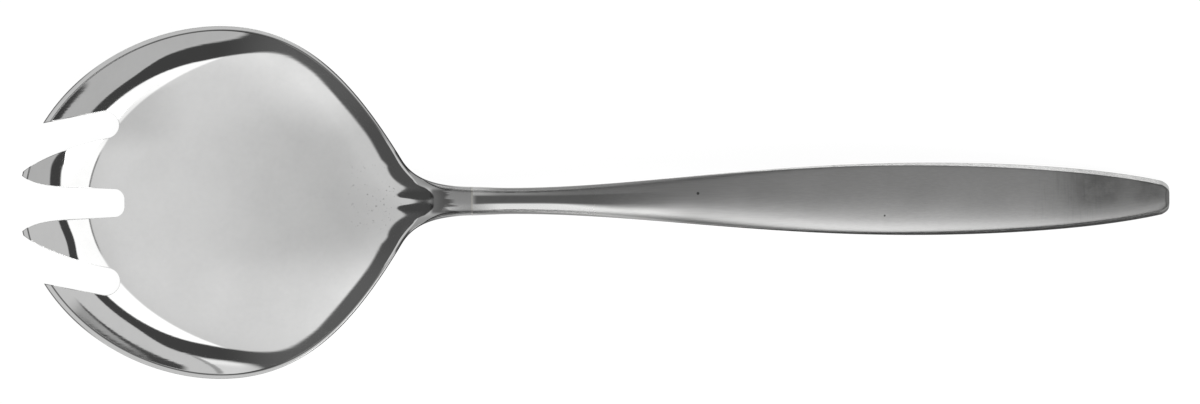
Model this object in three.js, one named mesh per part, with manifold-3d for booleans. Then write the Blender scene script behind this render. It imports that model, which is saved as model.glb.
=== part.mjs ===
// Serving fork: a pressed round bowl with four tines, brazed at the neck to a crowned bar handle.
// Millimetres, +Z up. +X runs along the handle to its tip, and the fork is symmetric about Y = 0.
// It lies as on a table: the flat floor of the bowl and the tip of the handle touch Z = 0.
import * as THREE from "three";
import { mergeVertices } from "three/addons/utils/BufferGeometryUtils.js";
import Module from "manifold-3d";

const wasm = await Module();
wasm.setup();
const { lerp: mix, clamp, smoothstep, degToRad } = THREE.MathUtils;

// Bowl outline, measured from the bowl's centre
const bowlFront = 39.85;
const bowlHalfWidth = 35.15;
const rimRoundness = 1.92;
const heelLength = 36.2;
const shoulderHalfWidth = 8.3;
const heelAngle = degToRad(58.8);
const heelFullness = 20;
const sideFullness = 16;
const heelReach = 5;
const heelRounding = 0.33;
const heelLead = 0.65;

// Bowl section: a flat floor, a smooth wall and a narrow flat land round the rim
const sheet = 1.3;
const tineLand = 1.15;
const heelLand = 0.55;
const rimEdge = 0.7;
const rimBlend = 0.06;
const heelHeight = 5.6;
const tineRise = 2.5;
const risePower = 2.2;
const floorShare = 0.55;

// Slots between the tines
const slotWidth = 5.5;
const slotCorner = 2;
const slotRoot = 19.5;
const slotFlare = 0.45;
const sideSlotWidth = 5.3;
const sideSlotRootX = 23.1;
const sideSlotRootY = 15.65;
const sideSlotAngle = degToRad(11.5);
const tineTipY = 5.85;
const tineTipWidth = 0.8;
const tineTipAngle = degToRad(40);
const middleTipLead = 2.4;
const sideTipLead = 5;
const ogiveLength = 7.8;
const flareLead = 0.45;
const flareSwell = 1.5;
const sideLead = 0.75;
const slotOverrun = 6;

// Neck of the head, from the end of the rim to the brazed joint
const neckLength = 13.8;
const neckHalfWidth = 2.85;
const shoulderLead = 0.27;
const shoulderTail = 0.6;
const shoulderFlare = 0.15;
const neckBlend = 0.5;
const blendReach = 4;
const neckEdge = 1;
const neckCrown = 1.9;
const neckFullness = 0.5;
const neckLevel = 6;

// Handle, measured from the joint
const handleLength = 139.1;
const waistReach = 8;
const waistHalfWidth = 2.6;
const crestReach = 42;
const crestHeight = 14;
const fallSharpness = 0.4;
const gripReach = 89.6;
const gripHalfWidth = 7.2;
const gripEdge = 1.6;
const gripCrown = 0.9;
const gripBelly = 0.4;
const gripFullness = 0.8;
const tipHalfWidth = 3.35;
const tipFlat = 1.6;
const tipRound = 1.5;
const tipEdge = 1.4;
const tipCrown = 0.5;
const tipBelly = 0.2;

// Shape of the handle's half-width line: how far each stretch holds its direction
const neckLead = 0.4;
const neckDraw = 0.3;
const swellLead = 0.3;
const swellTail = 0.41;
const taperLead = 0.38;
const taperTail = 0.24;
const taperFullness = 0.66;
const tipLead = 0.3;

// Brazed joint: a round tang on the handle in a blind socket of the head, with a filler ring
const brazeGap = 0.3;
const tangDiameter = 2.2;
const tangLength = 5.3;
const tangClearance = 0.3;
const tangEndGap = 0.5;

// Fineness of the faceted surfaces, and how far a cutter or a fused end reaches past a face
const rimSteps = 28;
const heelSteps = 12;
const shoulderSteps = 10;
const sectionSteps = 8;
const wallSteps = 11;
const wallCrowding = 1.35;
const neckSteps = 4;
const swellSteps = 15;
const taperSteps = 12;
const tipSteps = 5;
const slotSegments = 8;
const rodSides = 20;
const searchSteps = 40;
const overlap = 1;

// Places that follow from the sizes above
const jointX = heelLength + neckLength;
const handleX = jointX + brazeGap;
const crestX = handleX + crestReach;
const endX = handleX + handleLength;
const neckTop = sheet + heelHeight;
const frontX = -bowlFront * (1 - (tineTipY / bowlHalfWidth) ** rimRoundness) ** (1 / rimRoundness);
const point = (x, y) => new THREE.Vector2(x, y);
const bezier = (...points) => new THREE.CubicBezierCurve(...points);

// Plan outline of the head: half a superellipse, the drawn-in heel and the shoulder running into the neck
const heelEnd = point(heelLength, shoulderHalfWidth);
const alongHeel = (reach) => point(reach * Math.cos(heelAngle), -reach * Math.sin(heelAngle)).add(heelEnd);
const rimFront = Array.from({ length: rimSteps + 1 }, (_, i) => {
  const turn = (i / rimSteps) * Math.PI / 2;
  const bulge = (share) => Math.max(0, share) ** (2 / rimRoundness);
  return point(-bowlFront * bulge(Math.cos(turn)), bowlHalfWidth * bulge(Math.sin(turn)));
});
const heelSide = bezier(
  point(0, bowlHalfWidth), point(sideFullness, bowlHalfWidth), alongHeel(-heelFullness), heelEnd);
const shoulder = bezier(
  heelEnd, alongHeel(shoulderLead * neckLength),
  point(jointX - shoulderTail * neckLength, neckHalfWidth + shoulderFlare), point(jointX, neckHalfWidth));

// Line where the bowl's wall would close behind the shoulders
const heelTip = heelLength + heelReach;
const hiddenHeel = bezier(
  heelEnd, alongHeel(heelLead * heelReach),
  point(heelTip, heelRounding * shoulderHalfWidth), point(heelTip, 0));

// Point of a curve where a rising measure of its points reaches a value
function pointWhere(curve, measure, value) {
  let low = 0;
  let high = 1;
  for (let step = 0; step < searchSteps; step += 1) {
    const middle = (low + high) / 2;
    if (measure(curve.getPoint(middle)) < value) low = middle;
    else high = middle;
  }
  return curve.getPoint((low + high) / 2);
}

function smoothMin(a, b, width) {
  const share = clamp(0.5 + 0.5 * (b - a) / width, 0, 1);
  return mix(b, a, share) - width * share * (1 - share);
}

// Top line of the neck's and handle's edges: level at the neck, up to a crest, down to the table
function edgeTop(x) {
  if (x < crestX) return mix(neckTop, crestHeight, smoothstep(x, jointX - neckLevel, crestX));
  const share = (x - crestX) / (endX - crestX);
  const fall = mix(smoothstep(share, 0, 1), share * share, fallSharpness);
  return mix(crestHeight, tipEdge + tipBelly, fall);
}

// Distance from the bowl's centre to its rim in the direction of an outline point
function rimRadius(corner) {
  const turn = Math.abs(corner.angle() > Math.PI ? corner.angle() - 2 * Math.PI : corner.angle());
  if (turn >= heelEnd.angle()) return corner.length();
  return pointWhere(hiddenHeel, (place) => -place.angle(), -turn).length();
}

// Distance to the foot of the rim's flat land, which narrows from the tines to the heel
function landRadius(corner) {
  return rimRadius(corner) - mix(tineLand, heelLand, (1 + corner.x / corner.length()) / 2);
}

// Heights of the bowl's upper and lower face at a share of the way to an outline point
function headHeights(corner, share) {
  const place = corner.clone().multiplyScalar(share);
  const reach = place.length();
  const rim = rimRadius(corner);
  const towardTines = (1 - corner.x / corner.length()) / 2;
  const height = heelHeight + tineRise * towardTines ** risePower;
  const climb = (radius) => {
    const wall = Math.max(0, (reach / radius - floorShare) / (1 - floorShare));
    return wall ** 3 * (2 - wall);
  };

  const onNeck = smoothstep(place.x, heelLength, heelLength + shoulderTail * neckLength);
  const pastHeel = place.x > heelLength;
  const halfWidth = pastHeel ? pointWhere(shoulder, (p) => p.x, place.x).y : Infinity;
  const crown = neckCrown * onNeck * Math.max(0, 1 - (place.y / halfWidth) ** 2) ** neckFullness;
  const rimLevel = mix(sheet + height, edgeTop(place.x), onNeck);
  const atHeel = smoothstep(place.x, heelLength - blendReach, heelLength + blendReach);
  const blend = mix(rimBlend, neckBlend, atHeel);
  const upper = smoothMin(sheet + height * climb(landRadius(corner)), rimLevel + crown, blend);
  const lowerLimit = rimLevel - mix(rimEdge, neckEdge, onNeck) - crown;
  const outerWall = (height + sheet - rimEdge) * climb(rim);
  const lower = pastHeel ? smoothMin(outerWall, lowerLimit, blend) : outerWall;
  return { place, upper, lower };
}

// Closed body from rings of points, each ring joined to the next and both ends closed by a fan
function skin(rings, startPoint, endPoint) {
  const count = rings[0].length;
  const points = [startPoint, ...rings.flat(), endPoint];
  const last = points.length - 1;
  const at = (ring, corner) => 1 + ring * count + corner % count;
  const index = [];
  for (let corner = 0; corner < count; corner += 1) {
    index.push(0, at(0, corner + 1), at(0, corner));
    index.push(last, at(rings.length - 1, corner), at(rings.length - 1, corner + 1));
    for (let ring = 0; ring + 1 < rings.length; ring += 1) {
      index.push(at(ring, corner), at(ring, corner + 1), at(ring + 1, corner + 1));
      index.push(at(ring, corner), at(ring + 1, corner + 1), at(ring + 1, corner));
    }
  }
  const geometry = new THREE.BufferGeometry().setFromPoints(points);
  geometry.setIndex(index);
  return geometry;
}

function solid(geometry) {
  const bare = geometry.clone();
  bare.deleteAttribute("normal");
  bare.deleteAttribute("uv");
  const merged = mergeVertices(bare, 1e-4);
  const vertProperties = new Float32Array(merged.attributes.position.array);
  const triVerts = new Uint32Array(merged.index.array);
  return new wasm.Manifold(new wasm.Mesh({ numProp: 3, vertProperties, triVerts }));
}

function geometryOf(body) {
  const mesh = body.getMesh();
  const geometry = new THREE.BufferGeometry();
  geometry.setAttribute("position", new THREE.BufferAttribute(mesh.vertProperties, 3));
  geometry.setIndex(new THREE.BufferAttribute(mesh.triVerts, 1));
  return geometry;
}

// Crowned section of the neck and handle: height above the edge at a place across the width
const across = Array.from({ length: sectionSteps + 1 }, (_, i) => (i / sectionSteps - 0.5) * Math.PI);

function sectionRing(x, halfWidth, edge, crown, belly, fullness) {
  const top = edgeTop(x);
  const swell = (a) => Math.max(0, Math.cos(a)) ** (2 * fullness);
  const at = (a, z) => new THREE.Vector3(x, halfWidth * Math.sin(a), z);
  const upper = across.map((a) => at(a, top + crown * swell(a)));
  const lower = across.map((a) => at(a, top - edge - belly * swell(a)));
  return [...upper.reverse(), ...lower];
}

// Head: rings of the outline shrunk toward the centre, lifted to the bowl's two faces
function headOutline() {
  const half = [
    ...rimFront,
    ...heelSide.getPoints(heelSteps).slice(1),
    ...shoulder.getPoints(shoulderSteps).slice(1),
  ];
  const below = half.map((p) => point(p.x, -p.y));
  const face = across.slice(1, -1).map((a) => point(jointX, neckHalfWidth * Math.sin(a)));
  return [...below, ...face, ...half.reverse().slice(0, -1)];
}

function headBlank() {
  const outline = headOutline();
  const upperRings = [];
  const lowerRings = [];
  for (let step = 0; step <= wallSteps + 1; step += 1) {
    const along = 1 - (1 - Math.min(1, step / wallSteps)) ** wallCrowding;
    const ring = outline.map((corner) => {
      const floorEdge = floorShare * landRadius(corner) / corner.length();
      const land = landRadius(corner) / rimRadius(corner);
      return headHeights(corner, step > wallSteps ? 1 : mix(floorEdge, land, along));
    });
    upperRings.push(ring.map((p) => new THREE.Vector3(p.place.x, p.place.y, p.upper)));
    lowerRings.push(ring.map((p) => new THREE.Vector3(p.place.x, p.place.y, p.lower)));
  }
  const rings = [...lowerRings, ...upperRings.reverse()];
  return skin(rings, new THREE.Vector3(0, 0, 0), new THREE.Vector3(0, 0, sheet));
}

// Slots: the middle one straight, the side ones slanted, all opening into the pointed tine ends
const beyond = frontX - slotOverrun;
const tipSide = (side) => point(frontX, tineTipY + side * tineTipWidth / 2);
const tipTangent = (reach, side) =>
  point(reach * Math.cos(tineTipAngle), side * reach * Math.sin(tineTipAngle)).add(tipSide(side));

function middleSlot() {
  const half = slotWidth / 2;
  const ogive = frontX + ogiveLength;
  const shape = new THREE.Shape();
  const side = (sign) => ({
    corner: point(-slotRoot - slotCorner, sign * half),
    flare: point(ogive, sign * (half + slotFlare)),
    flareTangent: point(ogive - flareLead * ogiveLength, sign * (half + flareSwell * slotFlare)),
    tipTangent: tipTangent(middleTipLead, -1).multiply(point(1, sign)),
    tip: tipSide(-1).multiply(point(1, sign)),
  });
  const upper = side(1);
  const lower = side(-1);
  shape.moveTo(beyond, lower.tip.y);
  shape.lineTo(lower.tip.x, lower.tip.y);
  shape.bezierCurveTo(...lower.tipTangent, ...lower.flareTangent, ...lower.flare);
  shape.lineTo(lower.corner.x, lower.corner.y);
  shape.absarc(lower.corner.x, -half + slotCorner, slotCorner, -Math.PI / 2, 0, false);
  shape.absarc(upper.corner.x, half - slotCorner, slotCorner, 0, Math.PI / 2, false);
  shape.lineTo(upper.flare.x, upper.flare.y);
  shape.bezierCurveTo(...upper.flareTangent, ...upper.tipTangent, ...upper.tip);
  shape.lineTo(beyond, upper.tip.y);
  return shape;
}

function sideSlot() {
  const radius = sideSlotWidth / 2;
  const root = point(-sideSlotRootX, sideSlotRootY);
  const outward = point(-Math.cos(sideSlotAngle), -Math.sin(sideSlotAngle));
  const inner = point(Math.sin(sideSlotAngle), -Math.cos(sideSlotAngle)).multiplyScalar(radius).add(root);
  const innerTangent = outward.clone().multiplyScalar(sideLead * ogiveLength).add(inner);
  const outer = point(-Math.sin(sideSlotAngle), Math.cos(sideSlotAngle)).multiplyScalar(radius).add(root);
  const mouth = outward.clone().multiplyScalar((beyond - outer.x) / outward.x).add(outer);
  const start = -Math.PI / 2 + sideSlotAngle;
  const shape = new THREE.Shape();
  shape.moveTo(beyond, tipSide(1).y);
  shape.lineTo(tipSide(1).x, tipSide(1).y);
  shape.bezierCurveTo(...tipTangent(sideTipLead, 1), ...innerTangent, ...inner);
  shape.absarc(root.x, root.y, radius, start, start + Math.PI, false);
  shape.lineTo(mouth.x, mouth.y);
  return shape;
}

function slotCutter(shape, mirrored) {
  const depth = crestHeight + 2 * overlap;
  const options = { depth, bevelEnabled: false, curveSegments: slotSegments };
  const geometry = new THREE.ExtrudeGeometry(shape, options).translate(0, 0, -overlap);
  if (mirrored) geometry.rotateX(Math.PI).translate(0, 0, crestHeight);
  return solid(geometry);
}

// Tang and socket lie level, half way between the neck's middle heights at the two ends of the socket
const socketDepth = tangLength + tangEndGap - brazeGap;
const neckMiddle = (x) => edgeTop(x) - neckEdge / 2;
const tangZ = (neckMiddle(jointX) + neckMiddle(jointX - socketDepth)) / 2;

function rod(radius, fromX, toX) {
  const geometry = new THREE.CylinderGeometry(radius, radius, toX - fromX, rodSides);
  return geometry.rotateZ(Math.PI / 2).translate((fromX + toX) / 2, 0, tangZ);
}

function bowlHead() {
  const socketRadius = tangDiameter / 2 + tangClearance;
  return geometryOf(solid(headBlank())
    .subtract(slotCutter(middleSlot(), false))
    .subtract(slotCutter(sideSlot(), false))
    .subtract(slotCutter(sideSlot(), true))
    .subtract(solid(rod(socketRadius, jointX - socketDepth, jointX + overlap))));
}

// Braze ring: the neck's section as a thin washer round the tang
function brazeRing() {
  const ring = sectionRing(jointX, neckHalfWidth, neckEdge, neckCrown, neckCrown, neckFullness);
  const shape = new THREE.Shape(ring.map((p) => point(p.y, p.z)));
  const hole = new THREE.Path().absarc(0, tangZ, tangDiameter / 2 + tangClearance, 0, 2 * Math.PI, true);
  shape.holes.push(hole);
  const options = { depth: brazeGap, bevelEnabled: false, curveSegments: rodSides / 2 };
  const geometry = new THREE.ExtrudeGeometry(shape, options);
  const lengthwise = new THREE.Matrix4().makeBasis(
    new THREE.Vector3(0, 1, 0), new THREE.Vector3(0, 0, 1), new THREE.Vector3(1, 0, 0));
  return geometry.applyMatrix4(lengthwise).translate(jointX, 0, 0);
}

// Handle: crowned sections along its half-width line, with the tang at its front end
function handleStations() {
  const waist = point(handleX + waistReach, waistHalfWidth);
  const widest = point(handleX + gripReach, gripHalfWidth);
  const corner = point(endX - tipRound, tipHalfWidth);
  const start = point(handleX, neckHalfWidth);
  const swell = widest.x - waist.x;
  const taper = corner.x - widest.x;
  const curves = [
    [bezier(start, point(handleX + neckLead * waistReach, mix(neckHalfWidth, waistHalfWidth, neckDraw)),
      point(waist.x - neckLead * waistReach, waistHalfWidth), waist), neckSteps],
    [bezier(waist, point(waist.x + swellLead * swell, waistHalfWidth),
      point(widest.x - swellTail * swell, gripHalfWidth), widest), swellSteps],
    [bezier(widest, point(widest.x + taperLead * taper, gripHalfWidth),
      point(corner.x - taperTail * taper, mix(tipHalfWidth, gripHalfWidth, taperFullness)),
      corner), taperSteps],
    [bezier(corner, point(endX - tipLead * tipRound, mix(tipHalfWidth, tipFlat, tipLead)),
      point(endX, mix(tipHalfWidth, tipFlat, 2 * tipLead)), point(endX, tipFlat)), tipSteps],
  ];
  return [start, ...curves.flatMap(([curve, steps]) => curve.getPoints(steps).slice(1))];
}

function handleRing(station) {
  const toGrip = smoothstep(station.x, handleX + waistReach, handleX + gripReach);
  const toTip = smoothstep(station.x, handleX + gripReach, endX);
  const along = (neck, grip, tip) => mix(mix(neck, grip, toGrip), tip, toTip);
  return sectionRing(
    station.x, station.y,
    along(neckEdge, gripEdge, tipEdge),
    along(neckCrown, gripCrown, tipCrown),
    along(neckCrown, gripBelly, tipBelly),
    along(neckFullness, gripFullness, gripFullness));
}

function handleBar() {
  const rings = handleStations().map(handleRing);
  const middle = (ring) => ring.reduce((sum, p) => sum.add(p), new THREE.Vector3()).divideScalar(ring.length);
  const bar = skin(rings, middle(rings[0]), middle(rings.at(-1)));
  const tang = rod(tangDiameter / 2, handleX - tangLength, handleX + overlap);
  return geometryOf(solid(bar).add(solid(tang)));
}

// Finishes
const mirrorSteel = new THREE.MeshStandardMaterial({ color: 0xc9c9c7, metalness: 1, roughness: 0.08 });
const satinSteel = new THREE.MeshStandardMaterial({ color: 0xa9a9a7, metalness: 1, roughness: 0.4 });
const brazeMetal = new THREE.MeshStandardMaterial({ color: 0xb9b6ac, metalness: 1, roughness: 0.3 });

function piece(name, geometry, material) {
  const mesh = new THREE.Mesh(geometry, material);
  mesh.name = name;
  return mesh;
}

const servingFork = new THREE.Group();
servingFork.position.x = -(frontX + endX) / 2;
servingFork.add(
  piece("bowl_head", bowlHead(), mirrorSteel),
  piece("braze_ring", brazeRing(), brazeMetal),
  piece("handle", handleBar(), satinSteel),
);

export default servingFork;
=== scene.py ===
# %% [markdown]
# # A serving fork in polished and satin steel
# The fork is a shallow round bowl with short pointed tines, brazed at a slim neck to a crowned bar
# handle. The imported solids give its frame, and this lesson dresses them: smooth skins replace the
# faceted solids, because a mirror finish shows every facet.

# %% Load the frame
import math

import bmesh
import bpy
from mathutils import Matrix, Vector


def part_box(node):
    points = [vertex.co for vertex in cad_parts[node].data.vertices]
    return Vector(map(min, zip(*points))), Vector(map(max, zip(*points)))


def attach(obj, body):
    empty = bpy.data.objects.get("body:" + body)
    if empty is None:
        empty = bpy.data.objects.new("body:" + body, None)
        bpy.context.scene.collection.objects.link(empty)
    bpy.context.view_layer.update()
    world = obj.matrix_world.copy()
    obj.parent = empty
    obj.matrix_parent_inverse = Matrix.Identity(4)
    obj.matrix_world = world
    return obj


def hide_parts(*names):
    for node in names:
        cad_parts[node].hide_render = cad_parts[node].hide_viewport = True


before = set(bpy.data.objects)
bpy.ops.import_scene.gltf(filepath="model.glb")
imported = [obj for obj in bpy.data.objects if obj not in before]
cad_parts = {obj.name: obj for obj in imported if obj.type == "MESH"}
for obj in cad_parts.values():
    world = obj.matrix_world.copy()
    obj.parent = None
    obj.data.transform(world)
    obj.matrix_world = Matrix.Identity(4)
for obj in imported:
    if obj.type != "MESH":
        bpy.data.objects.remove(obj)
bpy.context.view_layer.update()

MM = 0.001
head_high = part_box("bowl_head")[1]
handle_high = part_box("handle")[1]

# %% [markdown]
# ## The camera
# The photograph looks straight down. A long lens far above keeps the outline free of perspective, and
# a quarter of a degree of roll gives the slight slant that the fork has in the picture.

# %% Look straight down
PHOTO_WIDTH_PX = 1200
VIEW_WIDTH = 240 * MM
CAMERA_HEIGHT = 1.5
SENSOR_WIDTH = 36
VIEW_CENTRE = (0.5 * MM, -0.3 * MM)
PHOTO_SLANT = math.radians(0.3)

camera_data = bpy.data.cameras.new("overhead_camera")
camera_data.sensor_width = SENSOR_WIDTH
camera_data.lens = SENSOR_WIDTH * CAMERA_HEIGHT / VIEW_WIDTH
camera = bpy.data.objects.new("overhead_camera", camera_data)
camera.location = (*VIEW_CENTRE, CAMERA_HEIGHT)
camera.rotation_euler = (0, 0, -PHOTO_SLANT)
bpy.context.scene.collection.objects.link(camera)
bpy.context.scene.camera = camera
bpy.context.scene.view_settings.view_transform = "Standard"
print("one photo pixel is", round(VIEW_WIDTH / MM / PHOTO_WIDTH_PX, 3), "mm")

# %% [markdown]
# ## Shader maths as Python
# A shading recipe is easier to read as an expression than as a list of links. This small class wraps
# one output socket, so `1 - mask` or `grain * 0.2` adds the Math nodes by itself.


# %% A socket that can be used in expressions
class Shade:
    def __init__(self, tree, socket):
        self.tree = tree
        self.socket = socket

    def node(self, kind, settings=None, **inputs):
        made = self.tree.nodes.new(kind)
        for name, value in (settings or {}).items():
            setattr(made, name, value)
        for name, value in inputs.items():
            place = int(name[1:]) if name[0] == "i" and name[1:].isdigit() else name.replace("_", " ")
            if isinstance(value, Shade):
                self.tree.links.new(value.socket, made.inputs[place])
            else:
                made.inputs[place].default_value = value
        return made

    def out(self, kind, settings=None, output=0, **inputs):
        return Shade(self.tree, self.node(kind, settings, **inputs).outputs[output])

    def math(self, operation, first, second=0.0, third=0.0):
        return self.out("ShaderNodeMath", {"operation": operation}, i0=first, i1=second, i2=third)

    def __add__(self, other):
        return self.math("ADD", self, other)

    def __sub__(self, other):
        return self.math("SUBTRACT", self, other)

    def __mul__(self, other):
        return self.math("MULTIPLY", self, other)

    def __truediv__(self, other):
        return self.math("DIVIDE", self, other)

    def __rsub__(self, other):
        return self.math("SUBTRACT", other, self)

    def __abs__(self):
        return self.math("ABSOLUTE", self)

    __radd__ = __add__
    __rmul__ = __mul__

    def step(self, low, high):
        """Rises smoothly from 0 at low to 1 at high, or falls where low is above high."""
        flip = low > high
        low, high = min(low, high), max(low, high)
        ramp = self.out("ShaderNodeMapRange", {"interpolation_type": "SMOOTHSTEP"},
                        Value=self, From_Min=low, From_Max=high)
        return 1 - ramp if flip else ramp

    def blend(self, low, high):
        """Goes from low to high as this value goes from 0 to 1."""
        return low + self * (high - low)


def new_material(name):
    material = bpy.data.materials.new(name)
    material.use_nodes = True
    material.node_tree.nodes.clear()
    return material, Shade(material.node_tree, None)


def show(shade, surface):
    output = shade.node("ShaderNodeOutputMaterial")
    shade.tree.links.new(surface.socket, output.inputs["Surface"])


print("shader expressions ready")

# %% [markdown]
# ## The studio
# Polished steel is mostly a picture of the room. In the photograph the bowl mirrors a light tent: a grey
# cloth overhead, a bright panel on the handle's side with a thin dark seam, and a dark skirt near the
# table. A dome round the fork carries that picture, and the camera doesn't see it. It is a stage piece
# that the camera doesn't see.

# %% Tent dome
TENT_RADIUS = 3.0
DOME_FOOT = -0.01

tent_mesh = bpy.data.meshes.new("light_tent")
bm = bmesh.new()
bmesh.ops.create_icosphere(bm, subdivisions=4, radius=TENT_RADIUS)
bmesh.ops.bisect_plane(bm, geom=bm.verts[:] + bm.edges[:] + bm.faces[:], plane_co=(0, 0, DOME_FOOT),
                       plane_no=(0, 0, -1), clear_outer=True)
bmesh.ops.reverse_faces(bm, faces=bm.faces[:])
bm.to_mesh(tent_mesh)
bm.free()
tent = bpy.data.objects.new("light_tent", tent_mesh)
bpy.context.scene.collection.objects.link(tent)
tent.visible_camera = False
print("tent of", len(tent_mesh.polygons), "faces")

# %% [markdown]
# The dome's picture could be painted, but a formula stays sharp and short. A direction has an angle from
# the zenith, in degrees, and a compass part: `sideways` is 1 toward the handle and -1 toward the tines, and
# `to_side` is 1 and -1 at the two sides. `flat_x` and `flat_y` are its place on a flat ceiling.

# %% Directions, cloth and panel
LEAST_HEIGHT = 0.02
LEAST_REACH = 0.01
CLOTH_GREY = 0.72
CLOTH_SLOPE_X = 0.1
CLOTH_SLOPE_Y = 0.05
CLOTH_DARKEST = 0.55
CLOTH_LIGHTEST = 0.88
PANEL_WHITE = 1.2
PANEL_BOW = 0.17
SEAM_SHADE = 0.7

tent_material, s = new_material("tent_cloth")
place = s.out("ShaderNodeTexCoord", output=3)
axes = s.node("ShaderNodeSeparateXYZ", Vector=place)
to_x, to_y, to_z = (Shade(s.tree, axes.outputs[i]) / TENT_RADIUS for i in range(3))
height = s.math("MAXIMUM", to_z, LEAST_HEIGHT)
from_zenith = s.math("ARCCOSINE", s.math("MINIMUM", height, 1.0)) * (180 / math.pi)
flat_x = to_x / height
flat_y = to_y / height
reach = s.math("MAXIMUM", s.math("SQRT", to_x * to_x + to_y * to_y), LEAST_REACH)
sideways = to_x / reach
to_side = to_y / reach

sloped = CLOTH_GREY - flat_x * CLOTH_SLOPE_X - flat_y * CLOTH_SLOPE_Y
cloth = s.math("MINIMUM", s.math("MAXIMUM", sloped, CLOTH_DARKEST), CLOTH_LIGHTEST)
panel_edge = flat_x + flat_y * flat_y * PANEL_BOW
panel = panel_edge.step(0.3, 0.36)
seam = panel_edge.step(0.29, 0.32) * panel_edge.step(0.36, 0.34) * abs(to_side).step(0.65, 0.5)
overhead = (1 - seam * SEAM_SHADE) * panel.blend(cloth, PANEL_WHITE)
print("cloth and panel in", len(tent_material.node_tree.nodes), "nodes")

# %% [markdown]
# The skirt hangs unevenly. Its top and foot, in degrees from the zenith, rise and fall round the compass,
# and that is what draws the waving dark band on the bowl's wall.

# %% Skirt
SKIRT_TOP = 56.4
SKIRT_FOOT = 72.5
SKIRT_SOFT = 1.0
SKIRT_DARK = 0.055
FRONT_SWAY = 20
TOP_SWAY = 1.35
REAR_DROP = 14.3
REAR_RISE = 1.5
REAR_LIFT = 12.7
REAR_SAG = 7
NEAR_DROP = 4
SIDE_DROP = 2
FOOT_DROP = 6

front_sway = sideways.step(0.86, 0.96) * to_y * FRONT_SWAY
rear_drop = sideways.step(0.1, -0.55) * REAR_DROP - sideways.step(-0.65, -0.8) * REAR_RISE
rear_lift = sideways.step(-0.84, -0.95) * REAR_LIFT - sideways.step(-0.965, -1.0) * REAR_SAG
skirt_top = SKIRT_TOP + rear_drop - rear_lift - front_sway * TOP_SWAY
near_drop = sideways.step(0.25, 0.5) * NEAR_DROP + to_side.step(-0.2, 0.2) * SIDE_DROP
skirt_foot = SKIRT_FOOT - near_drop + sideways.step(0.0, -0.5) * FOOT_DROP - front_sway
below_skirt = (from_zenith - skirt_foot).step(-SKIRT_SOFT, SKIRT_SOFT)
skirt = (from_zenith - skirt_top).step(-SKIRT_SOFT, SKIRT_SOFT) * (1 - below_skirt)
skirt_grey = SKIRT_DARK + sideways.step(0.0, -0.5) * sideways.step(-0.92, -0.86).blend(0.03, 0.06)
print("skirt from", SKIRT_TOP, "to", SKIRT_FOOT, "degrees at the sides")

# %% [markdown]
# Under the skirt the room shows as a pale wall with a window, a doorway, a dark corner, a dark side and a
# lamp. The bowl mirrors them only along its rim and the handle along its edges, so simple masks will do.

# %% Room under the skirt
LOW_GREY = 0.5
SIDE_LIGHT = 0.1
WINDOW_ANGLE = 70.5
WINDOW_SLANT = 0.031
DOOR_ANGLE = 75.7
DOOR_SLANT = 4.8
CORE_LIGHT = 0.55
FRAME_SHADE = 0.5
MARK_SHADE = 0.9
SIDE_SHADE = 0.85
LAMP_WHITE = 2.0

lower_side = to_side.step(-0.2, 0.2)
window_wall = sideways.step(-0.3, -0.12) * lower_side
past_window = sideways + (from_zenith - WINDOW_ANGLE) * WINDOW_SLANT
window = past_window.step(0.14, 0.1) * window_wall * from_zenith.step(72, 74).blend(0.33, 0.12)
window_frame = abs(past_window - 0.13).step(0.035, 0.015) * window_wall
past_door = from_zenith - sideways * DOOR_SLANT - DOOR_ANGLE
door_core = (past_door + sideways * 2.5).step(2.5, 2.8) * (from_zenith - sideways * 8.3).step(76.5, 76.2)
doorway = past_door.step(0.0, 0.3) * sideways.step(0.14, 0.2) * sideways.step(0.76, 0.68)
doorway = doorway * to_side.step(0.4, 0.6) * (1 - door_core * CORE_LIGHT)
corner = sideways.step(0.62, 0.68) * sideways.step(0.95, 0.88) * to_side.step(0, -0.2)
corner = corner * from_zenith.step(81.1, 81.4)
dark_marks = s.math("MAXIMUM", s.math("MAXIMUM", doorway, corner), window_frame * FRAME_SHADE)
dark_side = to_side.step(-0.8, -0.9) * from_zenith.step(82.5, 84.5)
lamp = to_side.step(0.8, 0.9) * from_zenith.step(84.5, 86)
low = LOW_GREY + lower_side * SIDE_LIGHT + window
low = low * (1 - dark_marks * MARK_SHADE) * (1 - dark_side * SIDE_SHADE)
low = lamp.blend(low, LAMP_WHITE)
glow = skirt.blend(below_skirt.blend(overhead, low), skirt_grey)
glow_colour = s.out("ShaderNodeCombineColor", Red=glow, Green=glow, Blue=glow)
show(s, s.out("ShaderNodeEmission", Color=glow_colour, Strength=1.0))
tent_mesh.materials.append(tent_material)
print("tent picture in", len(tent_material.node_tree.nodes), "nodes")

# %% [markdown]
# One soft box hangs beside the handle, low enough to brighten the near edge of the satin bar. In the bowl
# its mirror image falls inside the bright panel's, so it adds no second highlight there.

# %% Soft box beside the handle
BOX_PLACE = Vector((70, -85, 150)) * MM
BOX_TARGET = Vector((70, 0, 10)) * MM
BOX_SIZE = (190 * MM, 80 * MM)
BOX_POWER = 0.15

box_data = bpy.data.lights.new("soft_box", "AREA")
box_data.shape = "RECTANGLE"
box_data.size, box_data.size_y = BOX_SIZE
box_data.energy = BOX_POWER
soft_box = bpy.data.objects.new("soft_box", box_data)
soft_box.location = BOX_PLACE
soft_box.rotation_euler = (BOX_TARGET - BOX_PLACE).to_track_quat("-Z", "Y").to_euler()
bpy.context.scene.collection.objects.link(soft_box)
print("soft box", round((BOX_TARGET - BOX_PLACE).length, 3), "m from the handle")

# %% [markdown]
# The table is a plain pale sheet. Seen by the camera or in a reflection it is mostly white by itself, and
# the rest is lit, so that the fork keeps its soft contact shadow.

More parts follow.
